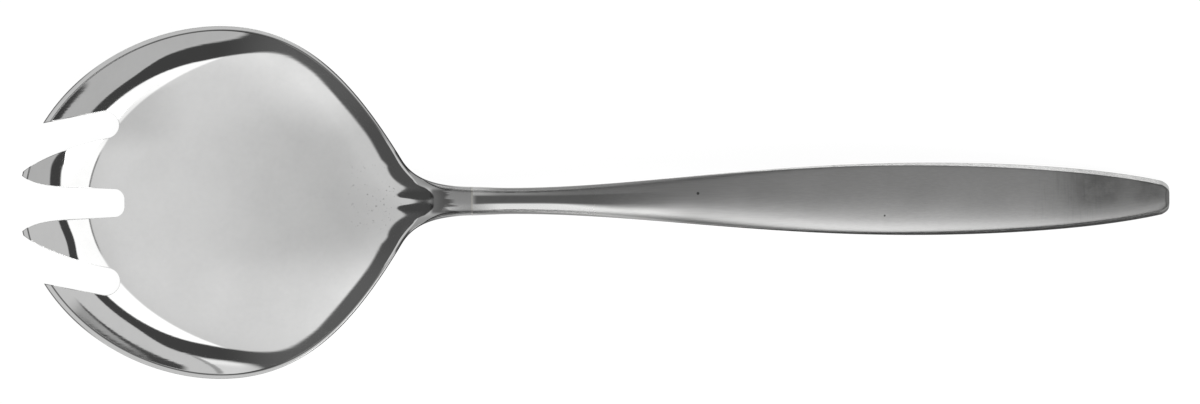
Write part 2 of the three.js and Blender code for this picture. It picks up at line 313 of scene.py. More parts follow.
# %% Table and background
TABLE_SIZE = 6.0
TABLE_DROP = 0.2 * MM
SELF_WHITE = 0.85
SELF_GLOW = 1.08
PAPER_GREY = 0.92

table_mesh = bpy.data.meshes.new("table")
bm = bmesh.new()
bmesh.ops.create_grid(bm, x_segments=1, y_segments=1, size=TABLE_SIZE / 2)
bmesh.ops.translate(bm, verts=bm.verts[:], vec=(0, 0, -TABLE_DROP))
bm.to_mesh(table_mesh)
bm.free()
table = bpy.data.objects.new("table", table_mesh)
bpy.context.scene.collection.objects.link(table)

table_material, s = new_material("pale_table")
path = s.node("ShaderNodeLightPath")
seen = s.math("MINIMUM", sum((Shade(s.tree, path.outputs[name]) for name in
                              ("Is Camera Ray", "Is Glossy Ray", "Is Transmission Ray")), 0.0), 1.0)
paper = s.out("ShaderNodeBsdfDiffuse", Color=(PAPER_GREY, PAPER_GREY, PAPER_GREY, 1))
white = s.out("ShaderNodeEmission", Color=(1, 1, 1, 1), Strength=SELF_GLOW)
mixed = s.node("ShaderNodeMixShader", Fac=seen * SELF_WHITE)
s.tree.links.new(paper.socket, mixed.inputs[1])
s.tree.links.new(white.socket, mixed.inputs[2])
show(s, Shade(s.tree, mixed.outputs[0]))
table_mesh.materials.append(table_material)

world = bpy.data.worlds.new("white_room")
world.use_nodes = True
world.node_tree.nodes["Background"].inputs["Color"].default_value = (1, 1, 1, 1)
world.node_tree.nodes["Background"].inputs["Strength"].default_value = 1.0
bpy.context.scene.world = world
print("table and white background ready")

# %% [markdown]
# ## The fork's lines
# The skins follow the same lines as the solids, in millimetres from the bowl's centre: half of a slightly
# lean ellipse for the front of the rim, a drawn-in heel, and shoulders that run into the neck. The heel's
# own round end is hidden in the neck, where it guides the heights.

# %% Sizes and curves
BOWL_FRONT = 39.85
BOWL_HALF_WIDTH = 35.15
RIM_ROUNDNESS = 1.92
HEEL_LENGTH = 36.2
SHOULDER_HALF_WIDTH = 8.3
HEEL_ANGLE = math.radians(58.8)
HEEL_REACH = 5
SIDE_PULL = 16
HEEL_PULL = 20
SHOULDER_PULL = 0.27
NECK_PULL = 0.6
NECK_FLARE = 0.15
HIDDEN_PULL = 0.65
HIDDEN_WIDTH = 0.33
NECK_LENGTH = 13.8
NECK_HALF_WIDTH = 2.85
JOINT_X = HEEL_LENGTH + NECK_LENGTH
TINE_TIP_Y = 5.85
FRONT_X = -BOWL_FRONT * (1 - (TINE_TIP_Y / BOWL_HALF_WIDTH) ** RIM_ROUNDNESS) ** (1 / RIM_ROUNDNESS)
BOWL_CENTRE_X = head_high[0] / MM - JOINT_X


def bezier(start, start_pull, end_pull, end):
    def at(t):
        weights = ((1 - t) ** 3, 3 * t * (1 - t) ** 2, 3 * t * t * (1 - t), t ** 3)
        corners = (start, start_pull, end_pull, end)
        return tuple(sum(w * c[axis] for w, c in zip(weights, corners)) for axis in (0, 1))
    return at


def points_of(curve, steps):
    return [curve(i / steps) for i in range(steps + 1)]


def along_heel(reach):
    return (HEEL_LENGTH + reach * math.cos(HEEL_ANGLE), SHOULDER_HALF_WIDTH - reach * math.sin(HEEL_ANGLE))


heel_end = (HEEL_LENGTH, SHOULDER_HALF_WIDTH)
heel_tip = HEEL_LENGTH + HEEL_REACH


def rim_front(t):
    turn = t * math.pi / 2
    return tuple(size * share ** (2 / RIM_ROUNDNESS) for size, share in
                 ((-BOWL_FRONT, abs(math.cos(turn))), (BOWL_HALF_WIDTH, abs(math.sin(turn)))))


heel_side = bezier((0, BOWL_HALF_WIDTH), (SIDE_PULL, BOWL_HALF_WIDTH), along_heel(-HEEL_PULL), heel_end)
shoulder = bezier(heel_end, along_heel(SHOULDER_PULL * NECK_LENGTH),
                  (JOINT_X - NECK_PULL * NECK_LENGTH, NECK_HALF_WIDTH + NECK_FLARE),
                  (JOINT_X, NECK_HALF_WIDTH))
hidden_heel = bezier(heel_end, along_heel(HIDDEN_PULL * HEEL_REACH),
                     (heel_tip, HIDDEN_WIDTH * SHOULDER_HALF_WIDTH), (heel_tip, 0))
print("bowl centre at x =", round(BOWL_CENTRE_X, 2), "mm")

# %% [markdown]
# ## The bowl's heights
# The floor is flat in the middle and climbs in a smooth power curve to the rim, which stands higher at
# the tines than at the heel. Behind the heel the wall rolls over into the neck. A smooth minimum of the
# two surfaces makes that roll, as a polisher's wheel would.

# %% Height of the upper and lower face
SHEET = 1.3
RIM_EDGE = 0.7
RIM_BLEND = 0.06
TINE_LAND = 1.15
HEEL_LAND = 0.55
HEEL_HEIGHT = 5.6
TINE_RISE = 2.5
RISE_POWER = 2.2
FLOOR_SHARE = 0.55
NECK_BLEND = 0.5
BLEND_REACH = 4
NECK_RAMP = 0.6
NECK_EDGE = 1
NECK_CROWN = 1.9
NECK_LEVEL = 6
CREST_REACH = 42
CREST_HEIGHT = 13.97
FALL_SHARPNESS = 0.4
TIP_EDGE = 1.4
TIP_BELLY = 0.2
BRAZE_GAP = 0.3
SOLVE_STEPS = 22
HANDLE_X = JOINT_X + BRAZE_GAP
CREST_X = HANDLE_X + CREST_REACH
END_X = handle_high[0] / MM - BOWL_CENTRE_X
HEEL_TURN = math.atan2(SHOULDER_HALF_WIDTH, HEEL_LENGTH)


def mix(low, high, share):
    return low + (high - low) * share


def smoothstep(value, low, high):
    share = min(1.0, max(0.0, (value - low) / (high - low)))
    return share * share * (3 - 2 * share)


def smooth_min(a, b, width):
    share = min(1.0, max(0.0, 0.5 + 0.5 * (b - a) / width))
    return mix(b, a, share) - width * share * (1 - share)


def solve(curve, measure, value):
    """Point of a curve where a rising measure of its points reaches a value."""
    low, high = 0.0, 1.0
    for _ in range(SOLVE_STEPS):
        middle = (low + high) / 2
        low, high = (middle, high) if measure(curve(middle)) < value else (low, middle)
    return curve((low + high) / 2)


def rim_radius(turn):
    turn = abs(turn)
    if turn >= math.pi / 2:
        along, across = abs(math.cos(turn)) / BOWL_FRONT, abs(math.sin(turn)) / BOWL_HALF_WIDTH
        return (along ** RIM_ROUNDNESS + across ** RIM_ROUNDNESS) ** (-1 / RIM_ROUNDNESS)
    curve = heel_side if turn > HEEL_TURN else hidden_heel
    return math.hypot(*solve(curve, lambda p: -math.atan2(p[1], p[0]), -turn))


def land_radius(turn, rim):
    return rim - mix(TINE_LAND, HEEL_LAND, (1 + math.cos(turn)) / 2)


def edge_top(x):
    level = SHEET + HEEL_HEIGHT
    if x < CREST_X:
        return mix(level, CREST_HEIGHT, smoothstep(x, JOINT_X - NECK_LEVEL, CREST_X))
    share = (x - CREST_X) / (END_X - CREST_X)
    fall = mix(smoothstep(share, 0, 1), share * share, FALL_SHARPNESS)
    return mix(CREST_HEIGHT, TIP_EDGE + TIP_BELLY, fall)


def head_heights(x, y):
    turn = math.atan2(y, x)
    reach = math.hypot(x, y)
    rim = rim_radius(turn)
    to_tines = (1 - math.cos(turn)) / 2
    height = HEEL_HEIGHT + TINE_RISE * to_tines ** RISE_POWER

    def climb(radius):
        share = max(0.0, (reach / radius - FLOOR_SHARE) / (1 - FLOOR_SHARE))
        return share ** 3 * (2 - share)

    on_neck = smoothstep(x, HEEL_LENGTH, HEEL_LENGTH + NECK_RAMP * NECK_LENGTH)
    past_heel = x > HEEL_LENGTH and abs(turn) <= HEEL_TURN
    level = SHEET + height
    crown = 0.0
    if past_heel:
        half_width = solve(shoulder, lambda p: p[0], min(x, JOINT_X))[1]
        crown = NECK_CROWN * on_neck * math.sqrt(max(0.0, 1 - (y / half_width) ** 2))
        level = mix(level, edge_top(x), on_neck)
    at_heel = smoothstep(x, HEEL_LENGTH - BLEND_REACH, HEEL_LENGTH + BLEND_REACH)
    blend = mix(RIM_BLEND, NECK_BLEND, at_heel)
    upper = smooth_min(SHEET + height * climb(land_radius(turn, rim)), level + crown, blend)
    outer_wall = (height + SHEET - RIM_EDGE) * climb(rim)
    lower_limit = level - mix(RIM_EDGE, NECK_EDGE, on_neck) - crown
    lower = smooth_min(outer_wall, lower_limit, blend) if past_heel else outer_wall
    return upper, lower


for label, x, y in (("floor", 0, 0), ("side rim", 0, 34.5), ("heel", heel_tip, 0), ("joint", JOINT_X, 0)):
    print(label, [round(v, 2) for v in head_heights(x, y)])

# %% [markdown]
# ## The head
# The plan outline is extruded inward ring by ring, as a sheet-metal blank, doubled to a slab and rounded
# at its rim. It stays flat until the slots are cut, because a flat blank is easy to cut cleanly.

# %% Rings of the blank
RIM_ROUND = 0.3
ROUND_STEPS = 3
FRONT_STEPS = 64
SIDE_STEPS = 40
SHOULDER_STEPS = 30
FACE_STEPS = 16
FLAT_SHEET = 1.0
RIM_SHARES = (1.006, 1.002, 0.998, 0.993)
INNER_SHARE = 0.12
COARSE_SHARE = 0.76
RING_GAP = 0.012
GAP_GROWTH = 1.12
NECK_SQUEEZE = 0.36
SQUEEZE_REACH = 0.02
SQUEEZE_START = -2
SQUEEZE_END = 6
SHARP_TURN = 1.0
LEVEL_STEP = 0.1
FACE_MARGIN = 0.01


def new_object(name, bm):
    mesh = bpy.data.meshes.new(name)
    bm.to_mesh(mesh)
    bm.free()
    made = bpy.data.objects.new(name, mesh)
    bpy.context.scene.collection.objects.link(made)
    return made


def first_ring(bm, places):
    ring = [bm.verts.new(place) for place in places]
    for a, b in zip(ring, ring[1:] + ring[:1]):
        bm.edges.new((a, b))
    return ring


def extrude_ring(bm, ring):
    """Extrudes a closed ring of vertices and returns the new ring in the same order."""
    edges = [bm.edges.get((a, b)) for a, b in zip(ring, ring[1:] + ring[:1])]
    made = bmesh.ops.extrude_edge_only(bm, edges=edges)["geom"]
    fresh = {part for part in made if isinstance(part, bmesh.types.BMVert)}
    return [next(e.other_vert(v) for e in v.link_edges if e.other_vert(v) in fresh) for v in ring]


def head_outline():
    half = points_of(rim_front, FRONT_STEPS)
    half += points_of(heel_side, SIDE_STEPS)[1:] + points_of(shoulder, SHOULDER_STEPS)[1:]
    face_turns = [math.pi * (i / FACE_STEPS - 0.5) for i in range(1, FACE_STEPS)]
    face = [(JOINT_X, NECK_HALF_WIDTH * math.sin(turn)) for turn in face_turns]
    return [(x, -y) for x, y in half] + face + half[:0:-1]


def ring_shares():
    """Sizes of the rings, as shares of the land's inner line: close at the rim and wider on the floor."""
    shares = list(RIM_SHARES)
    gap = RING_GAP
    while shares[-1] > INNER_SHARE:
        shares.append(shares[-1] - gap)
        if shares[-1] < COARSE_SHARE:
            gap *= GAP_GROWTH
    return shares


def ring_place(x, y, share):
    """Shrinks an outline point, faster across the neck, so that the rounding there has room."""
    on_neck = smoothstep(x, HEEL_LENGTH + SQUEEZE_START, HEEL_LENGTH + SQUEEZE_END)
    squeeze = 1 - NECK_SQUEEZE * on_neck * (1 - math.exp((share - 1) / SQUEEZE_REACH))
    return x * share, y * share * squeeze, 0


def on_rim(edge):
    """True for the slab's sharp level edges, apart from those of the neck's end face."""
    level = abs(edge.verts[0].co.z - edge.verts[1].co.z) < LEVEL_STEP
    before_face = min(v.co.x for v in edge.verts) < JOINT_X - FACE_MARGIN
    return level and before_face and edge.calc_face_angle(0) > SHARP_TURN


bm = bmesh.new()
outline = head_outline()
turns = [math.atan2(y, x) for x, y in outline]
land_shares = [land_radius(turn, rim_radius(turn)) / rim_radius(turn) for turn in turns]
ring = first_ring(bm, [(x, y, 0) for x, y in outline])
for share in ring_shares():
    ring = extrude_ring(bm, ring)
    for vert, (x, y), land_share in zip(ring, outline, land_shares):
        vert.co = ring_place(x, y, land_share * share)
ring = extrude_ring(bm, ring)
bmesh.ops.pointmerge(bm, verts=ring, merge_co=(0, 0, 0))
copied = bmesh.ops.duplicate(bm, geom=bm.verts[:] + bm.edges[:] + bm.faces[:])["geom"]
upper_verts = [v for v in copied if isinstance(v, bmesh.types.BMVert)]
bmesh.ops.translate(bm, verts=upper_verts, vec=(0, 0, FLAT_SHEET))
bmesh.ops.bridge_loops(bm, edges=[e for e in bm.edges if e.is_boundary])
bmesh.ops.recalc_face_normals(bm, faces=bm.faces[:])
rim_edges = [edge for edge in bm.edges if on_rim(edge)]
bmesh.ops.bevel(bm, geom=rim_edges, offset=RIM_ROUND, segments=ROUND_STEPS, profile=0.5, affect="EDGES",
                material=-1)
print("blank of", len(bm.faces), "faces,", len(outline), "points round the outline")
blank = new_object("head_blank", bm)

# %% [markdown]
# The slots are punched with three cutters: a straight one in the middle and a slanted one on each side.
# Each cutter flares at the two faces of the sheet, which leaves the slots' edges softly rounded.

# %% Slots
SLOT_WIDTH = 5.5
SLOT_CORNER = 2
SLOT_ROOT = 19.5
SLOT_FLARE = 0.45
SIDE_SLOT_WIDTH = 5.3
SIDE_SLOT_ROOT = (-23.1, 15.65)
SIDE_SLOT_ANGLE = math.radians(11.5)
TINE_TIP_WIDTH = 0.8
TINE_TIP_ANGLE = math.radians(40)
OGIVE_LENGTH = 7.8
OGIVE_PULL = 0.45
OGIVE_FLARE = 1.5
SIDE_PULL_SHARE = 0.75
INNER_TIP_PULL = 2.4
OUTER_TIP_PULL = 5
CORNER_STEPS = 12
OGIVE_STEPS = 20
END_STEPS = 24
CUTTER_LEVELS = ((-0.2, 0.4), (0, 0.18), (0.12, 0.05), (0.3, 0),
                 (0.7, 0), (0.88, 0.05), (1, 0.18), (1.2, 0.4))
BEYOND = FRONT_X - 6


def arc(centre, radius, start, end, steps):
    turns = [mix(start, end, i / steps) for i in range(steps + 1)]
    return [(centre[0] + radius * math.cos(t), centre[1] + radius * math.sin(t)) for t in turns]


def tine_tip(side):
    return (FRONT_X, TINE_TIP_Y + side * TINE_TIP_WIDTH / 2)


def tip_pull(reach, side):
    tip = tine_tip(side)
    return (tip[0] + reach * math.cos(TINE_TIP_ANGLE), tip[1] + side * reach * math.sin(TINE_TIP_ANGLE))


def middle_slot():
    half = SLOT_WIDTH / 2
    ogive = FRONT_X + OGIVE_LENGTH
    pull = (ogive - OGIVE_PULL * OGIVE_LENGTH, half + OGIVE_FLARE * SLOT_FLARE)
    edge = bezier((ogive, half + SLOT_FLARE), pull, tip_pull(INNER_TIP_PULL, -1), tine_tip(-1))
    centre = (-SLOT_ROOT - SLOT_CORNER, half - SLOT_CORNER)
    corner = arc(centre, SLOT_CORNER, 0, math.pi / 2, CORNER_STEPS)
    side = corner + points_of(edge, OGIVE_STEPS) + [(BEYOND, tine_tip(-1)[1])]
    return side + [(x, -y) for x, y in reversed(side)]


def side_slot():
    radius = SIDE_SLOT_WIDTH / 2
    run = (-math.cos(SIDE_SLOT_ANGLE), -math.sin(SIDE_SLOT_ANGLE))
    start = SIDE_SLOT_ANGLE - math.pi / 2
    end = arc(SIDE_SLOT_ROOT, radius, start, start + math.pi, END_STEPS)
    inner, outer = end[0], end[-1]
    pull = tuple(at + SIDE_PULL_SHARE * OGIVE_LENGTH * way for at, way in zip(inner, run))
    edge = bezier(tine_tip(1), tip_pull(OUTER_TIP_PULL, 1), pull, inner)
    length = (BEYOND - outer[0]) / run[0]
    mouth = (outer[0] + length * run[0], outer[1] + length * run[1])
    return [(BEYOND, tine_tip(1)[1])] + points_of(edge, END_STEPS)[:-1] + end + [mouth]


def grown(shape, amount):
    count = len(shape)
    moved = []
    for i in range(count):
        before, after = Vector(shape[i - 1]), Vector(shape[(i + 1) % count])
        run = (after - before).normalized()
        moved.append((shape[i][0] + amount * run.y, shape[i][1] - amount * run.x))
    return moved


def cutter(name, shape):
    bm = bmesh.new()
    ring = None
    for height, flare in CUTTER_LEVELS:
        places = [(x, y, height * FLAT_SHEET) for x, y in grown(shape, flare)]
        if ring is None:
            ring = first_ring(bm, places)
            continue
        ring = extrude_ring(bm, ring)
        for vert, place in zip(ring, places):
            vert.co = place
    bmesh.ops.edgeloop_fill(bm, edges=[e for e in bm.edges if e.is_boundary])
    bmesh.ops.recalc_face_normals(bm, faces=bm.faces[:])
    return new_object(name, bm)


left = side_slot()
shapes = {"middle": middle_slot(), "left": left, "right": [(x, -y) for x, y in reversed(left)]}
cutters = [cutter(name + "_slot_cutter", shape) for name, shape in shapes.items()]
for tool in cutters:
    cut = blank.modifiers.new(tool.name, "BOOLEAN")
    cut.operation = "DIFFERENCE"
    cut.solver = "EXACT"
    cut.object = tool
cut_mesh = bpy.data.meshes.new_from_object(blank.evaluated_get(bpy.context.evaluated_depsgraph_get()))
for spare in [blank] + cutters:
    bpy.data.objects.remove(spare)
print("slotted blank of", len(cut_mesh.polygons), "faces")

# %% [markdown]
# Pressing gives the blank its depth: each point moves up to the bowl's lower or upper face by its share of
# the sheet. The normals are worked out from the same height formula, so the mirror has no facets.

# %% Press the head
NORMAL_REACH = 0.04
FACE_SHARE = 0.001


def face_normal(x, y, side):
    e = NORMAL_REACH
    slope_x = (head_heights(x + e, y)[side] - head_heights(x - e, y)[side]) / (2 * e)
    slope_y = (head_heights(x, y + e)[side] - head_heights(x, y - e)[side]) / (2 * e)
    normal = Vector((-slope_x, -slope_y, 1)).normalized()
    return normal if side == 0 else -normal


normals = []
edge_shares = []
land_distances = []
for vert in cut_mesh.vertices:
    x, y, share = vert.co.x, vert.co.y, vert.co.z / FLAT_SHEET
    upper, lower = head_heights(x, y)
    on_face = min(share, 1 - share) < FACE_SHARE
    normals.append(face_normal(x, y, 0 if share > 0.5 else 1) if on_face else Vector((0, 0, 0)))
    edge_shares.append(0.0 if on_face else 1.0)
    turn = math.atan2(y, x)
    land_distances.append(math.hypot(x, y) - land_radius(turn, rim_radius(turn)))
    vert.co = ((x + BOWL_CENTRE_X) * MM, y * MM, mix(lower, upper, share) * MM)
cut_mesh.polygons.foreach_set("use_smooth", [True] * len(cut_mesh.polygons))
cut_mesh.normals_split_custom_set_from_vertices(normals)
cut_mesh.attributes.new("edge", "FLOAT", "POINT").data.foreach_set("value", edge_shares)
cut_mesh.attributes.new("from_land", "FLOAT", "POINT").data.foreach_set("value", land_distances)
cut_mesh.name = "bowl_skin"
bowl = bpy.data.objects.new("bowl_skin", cut_mesh)
bpy.context.scene.collection.objects.link(bowl)
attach(bowl, "root")
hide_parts("bowl_head")
print("bowl skin of", sum(len(p.vertices) - 2 for p in cut_mesh.polygons), "triangles")

# %% [markdown]
# ## The handle
# A bar handle is a row of cross-sections: a round neck, a wide crowned grip with chamfered upper edges and a
# thin square tip. One section ring is extruded from station to station along the half-width line. The
# chamfer starts as nothing behind the neck, grows toward the tip and goes round the end, as a file cuts it.

# %% Sections along the handle
WAIST_REACH = 8
WAIST_HALF_WIDTH = 2.6
GRIP_REACH = 89.6
GRIP_HALF_WIDTH = 7.2
GRIP_EDGE = 1.6
GRIP_CROWN = 0.9
GRIP_BELLY = 0.4
NECK_FULLNESS = 0.5
GRIP_FULLNESS = 0.8
TIP_HALF_WIDTH = 3.35
TIP_FLAT = 1.6
TIP_ROUND = 1.5
TIP_CROWN = 0.5
EDGE_ROUND = 0.4
SHARP_EDGE = 0.02
CHAMFER = 0.85
CHAMFER_FALL = 0.93
CHAMFER_START = 75
CHAMFER_FULL = 180
CHAMFER_SHARES = (0.1, 0.2, 0.8, 0.9, 1)
END_DROP = 0.3
CROWN_STEPS = 24
EDGE_STEPS = 5
FILED_COUNT = len(CHAMFER_SHARES)
SECOND_EDGE = FILED_COUNT + CROWN_STEPS + 1
FILED_POINTS = dict(enumerate(reversed(CHAMFER_SHARES))) | dict(enumerate(CHAMFER_SHARES, SECOND_EDGE))


def handle_stations():
    start = (HANDLE_X, NECK_HALF_WIDTH)
    waist = (HANDLE_X + WAIST_REACH, WAIST_HALF_WIDTH)
    widest = (HANDLE_X + GRIP_REACH, GRIP_HALF_WIDTH)
    corner = (END_X - TIP_ROUND, TIP_HALF_WIDTH)
    swell = widest[0] - waist[0]
    taper = corner[0] - widest[0]
    neck = bezier(start, (HANDLE_X + 0.4 * WAIST_REACH, mix(NECK_HALF_WIDTH, WAIST_HALF_WIDTH, 0.3)),
                  (HANDLE_X + 0.6 * WAIST_REACH, WAIST_HALF_WIDTH), waist)
    grip = bezier(waist, (waist[0] + 0.3 * swell, WAIST_HALF_WIDTH),
                  (widest[0] - 0.41 * swell, GRIP_HALF_WIDTH), widest)
    thin = bezier(widest, (widest[0] + 0.38 * taper, GRIP_HALF_WIDTH),
                  (corner[0] - 0.24 * taper, mix(TIP_HALF_WIDTH, GRIP_HALF_WIDTH, 0.66)), corner)
    tip = bezier(corner, (END_X - 0.3 * TIP_ROUND, mix(TIP_HALF_WIDTH, TIP_FLAT, 0.3)),
                 (END_X, mix(TIP_HALF_WIDTH, TIP_FLAT, 0.6)), (END_X, TIP_FLAT))
    return points_of(neck, 10) + points_of(grip, 50)[1:] + points_of(thin, 36)[1:] + points_of(tip, 14)[1:]


def section(x, half_width):
    to_grip = smoothstep(x, HANDLE_X + WAIST_REACH, HANDLE_X + GRIP_REACH)
    to_tip = smoothstep(x, HANDLE_X + GRIP_REACH, END_X)

    def along(neck, grip, tip):
        return mix(mix(neck, grip, to_grip), tip, to_tip)

    edge = along(NECK_EDGE, GRIP_EDGE, TIP_EDGE)
    crown = along(NECK_CROWN, GRIP_CROWN, TIP_CROWN)
    belly = along(NECK_CROWN, GRIP_BELLY, TIP_BELLY)
    soft = along(SHARP_EDGE, EDGE_ROUND, EDGE_ROUND)
    fullness = along(NECK_FULLNESS, GRIP_FULLNESS, GRIP_FULLNESS)
    top = edge_top(x)
    chamfer = mix(SHARP_EDGE, CHAMFER, smoothstep(x, CHAMFER_START, CHAMFER_FULL))
    end_plane = top - END_DROP + CHAMFER_FALL * (END_X - x)
    inner, under = half_width - chamfer, half_width - soft
    across = [math.sin(math.pi * (0.5 - i / CROWN_STEPS)) for i in range(CROWN_STEPS + 1)]
    upper = [(k * inner, top + crown * (1 - k * k) ** fullness) for k in across]
    left = [(-inner - chamfer * share, top - CHAMFER_FALL * chamfer * share) for share in CHAMFER_SHARES]
    right = [(-y, z) for y, z in reversed(left)]
    upper_line = [(y, min(z, end_plane)) for y, z in right + upper + left]
    lower = [(k * under, top - edge - belly * (1 - k * k) ** fullness) for k in reversed(across)]
    left_foot = arc((-under, top - edge + soft), soft, math.pi, 1.5 * math.pi, EDGE_STEPS)[:-1]
    right_foot = [(-y, z) for y, z in reversed(left_foot)]
    ring = upper_line + left_foot + lower + right_foot
    return [((x + BOWL_CENTRE_X) * MM, y * MM, z * MM) for y, z in ring]


def loft(name, stations):
    bm = bmesh.new()
    across = bm.verts.layers.float.new("across")
    filed = bm.verts.layers.float.new("filed")
    ring = None
    for x, half_width in stations:
        places = section(x, half_width)
        ring = extrude_ring(bm, ring) if ring else first_ring(bm, places)
        for number, (vert, place) in enumerate(zip(ring, places)):
            vert.co = place
            vert[across] = place[1] / (half_width * MM)
            vert[filed] = FILED_POINTS.get(number, 0.0)
    bmesh.ops.edgeloop_fill(bm, edges=[e for e in bm.edges if e.is_boundary])
    bmesh.ops.recalc_face_normals(bm, faces=bm.faces[:])
    for face in bm.faces:
        face.smooth = len(face.verts) == 4
        for edge in face.edges:
            edge.smooth = edge.smooth and face.smooth
    return new_object(name, bm)


handle = loft("handle_skin", handle_stations())
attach(handle, "root")
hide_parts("handle")
braze = loft("braze_line", [(JOINT_X, NECK_HALF_WIDTH), (HANDLE_X, NECK_HALF_WIDTH)])
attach(braze, "root")
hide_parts("braze_ring")
print("handle skin of", len(handle.data.polygons), "faces")

# %% [markdown]
# ## Mirror-polished steel
# A used mirror finish is never perfect: it has a cloudy film, hairline scratches and a few pits near the
# heel. Clouds and hairs could be drawn, but stretched noise gives both, and a very small bump is enough.

# %% Film, scratches and pits
SMOOTHEST = 0.03
FILM_ROUGH = 0.04
HAIR_ROUGH = 0.03
NECK_ROUGH = 0.2

mirror, s = new_material("mirror_steel")
place = s.out("ShaderNodeTexCoord", output=3)
axes = s.node("ShaderNodeSeparateXYZ", Vector=place)
lengthwise, crosswise, upright = (Shade(s.tree, axes.outputs[i]) / MM for i in range(3))
clouds = s.out("ShaderNodeTexNoise", Vector=place, Scale=70.0, Detail=4.0, Roughness=0.6)
fine = s.out("ShaderNodeTexNoise", Vector=place, Scale=900.0, Detail=3.0)
turned = s.out("ShaderNodeMapping", Vector=place, Rotation=(0, 0, 0.5), Scale=(60, 2600, 400))
hairs = s.out("ShaderNodeTexNoise", Vector=turned, Scale=1.0, Detail=2.0)
film = clouds.step(0.35, 0.75)
dull = lengthwise.step(-35, -29)
pitted = s.out("ShaderNodeTexNoise", Vector=place, Scale=1700.0, Detail=1.0).step(0.66, 0.72)
pits = pitted * abs(lengthwise + 44).step(7, 3) * abs(crosswise - 1).step(8, 4)
roughness = SMOOTHEST + film * FILM_ROUGH + hairs.step(0.6, 0.8) * HAIR_ROUGH + dull * NECK_ROUGH
bump = s.out("ShaderNodeBump", Height=hairs * 0.4 + fine * 0.2, Strength=0.03, Distance=0.0001)
print("worn surface in", len(mirror.node_tree.nodes), "nodes")

# %% [markdown]
# Most of these shades are painted light and shade, standing for the room's reflections in the steel:
# painted shade on the floor with one lighter side, a painted dark outline on the edges, a painted dark line
# where the wall meets the land, and painted shade at the root of the neck, at the shoulders and on the land.
# Only the pits and a slight even haze are the steel's own. Each is a mask, made from the place on the fork
# in millimetres or from the distance to the rim's flat land.

# %% Bowl finish
BASE_HAZE = 0.03
PAINTED_FLOOR_SHADE = 0.26
PAINTED_LEFT_SHADE = 0.15
PAINTED_BRIGHT_SIDE = 0.04
NECK_TONE = 0.52
PAINTED_EDGE_SHADE = 0.97
PAINTED_TINE_EDGE = 0.8
PAINTED_CREASE_SHADE = 0.8
PAINTED_ROOT_SHADE = 0.68
PAINTED_SHOULDER_SHADE = 0.75
PAINTED_LAND_SHADE = 0.18
PAINTED_NECK_LAND_SHADE = 0.25
PIT_SHADE = 0.3

from_land = s.out("ShaderNodeAttribute", {"attribute_name": "from_land"}, output=2)
edge = s.out("ShaderNodeAttribute", {"attribute_name": "edge"}, output=2)
# Painted shade: the floor is darkened in the middle and at the upper left and lightened on the -Y side, over
# a slight even haze.
painted_floor_shading = lengthwise.step(-92, -45) * abs(crosswise - 3).step(21, 9) * PAINTED_FLOOR_SHADE
painted_left_shading = lengthwise.step(-80, -92) * crosswise.step(9, 16) * from_land.step(-8.5, -9.5) * PAINTED_LEFT_SHADE
haze_and_painted_shade = BASE_HAZE + painted_floor_shading + painted_left_shading - crosswise.step(-8, -18) * PAINTED_BRIGHT_SIDE
land = from_land.step(0.0, 0.15)
# Painted shade: a dark outline on the rounded edges round the heel and neck, and on the land's edges at the
# tine tips.
painted_edge_shade = edge * lengthwise.step(-62, -52) * lengthwise.step(-27, -31)
painted_edge_shade = painted_edge_shade + edge * land * lengthwise.step(-98, -104) * PAINTED_TINE_EDGE
# Painted shade: a thin dark line where the wall meets the rim's flat land, all round but the heel.
painted_crease_shade = abs(from_land).step(0.2, 0.08) * lengthwise.step(-41, -44)
# Painted shade on top of the neck's root, with a streaky edge that reaches further on the -Y side.
streaked = s.out("ShaderNodeMapping", Vector=place, Scale=(120, 1300, 1300))
streaks = s.out("ShaderNodeTexNoise", Vector=streaked, Scale=1.0, Detail=1.0)
painted_root_shade = (lengthwise + streaks * 6 - crosswise.step(0, -1) * 1.2).step(-26, -27.2)
painted_root_shade = painted_root_shade * lengthwise.step(-33.6, -32.6)
painted_root_shade = painted_root_shade * abs(crosswise).step(2.8, 2.0) * upright.step(6.7, 7.1)
# Painted shade on the rim's flat land at the shoulders.
painted_shoulder_shade = land * lengthwise.step(-40.6, -40) * lengthwise.step(-37, -37.8)
# Painted shade over the flat land away from the neck's middle, and more of it near the neck.
painted_land_shade = land * abs(crosswise).step(2, 3.5)
painted_neck_land_shade = painted_land_shade * lengthwise.step(-40, -38) * lengthwise.step(-30, -33)
tone = (film.blend(0.88, 0.83) + (fine - 0.5) * 0.04) * (1 - haze_and_painted_shade)
tone = tone * dull.blend(1.0, NECK_TONE) * (1 - painted_edge_shade * PAINTED_EDGE_SHADE) * (1 - pits * PIT_SHADE)
tone = tone * (1 - painted_shoulder_shade * PAINTED_SHOULDER_SHADE) * (1 - painted_root_shade * PAINTED_ROOT_SHADE)
tone = tone * (1 - painted_crease_shade * PAINTED_CREASE_SHADE) * (1 - painted_land_shade * (1 - dull) * PAINTED_LAND_SHADE)
tone = tone * (1 - painted_neck_land_shade * PAINTED_NECK_LAND_SHADE)
grey = s.out("ShaderNodeCombineColor", Red=tone, Green=tone, Blue=tone * 0.995)
steel = s.out("ShaderNodeBsdfPrincipled", Base_Color=grey, Metallic=1.0, Roughness=roughness, Normal=bump)
show(s, steel)
bowl.data.materials.append(mirror)
print("mirror finish with", len(mirror.node_tree.nodes), "nodes")

# %% [markdown]
# ## Satin steel
# The handle was brushed lengthwise, so its grain is a noise stretched along X. Use has left cloudy dark
# patches and fine cross marks toward the tip, and two small nicks.

# %% Grain, stains and nicks
PATCH_SHADE = 0.38
CROSS_SHADE = 0.1
NICK_SHADE = 0.75

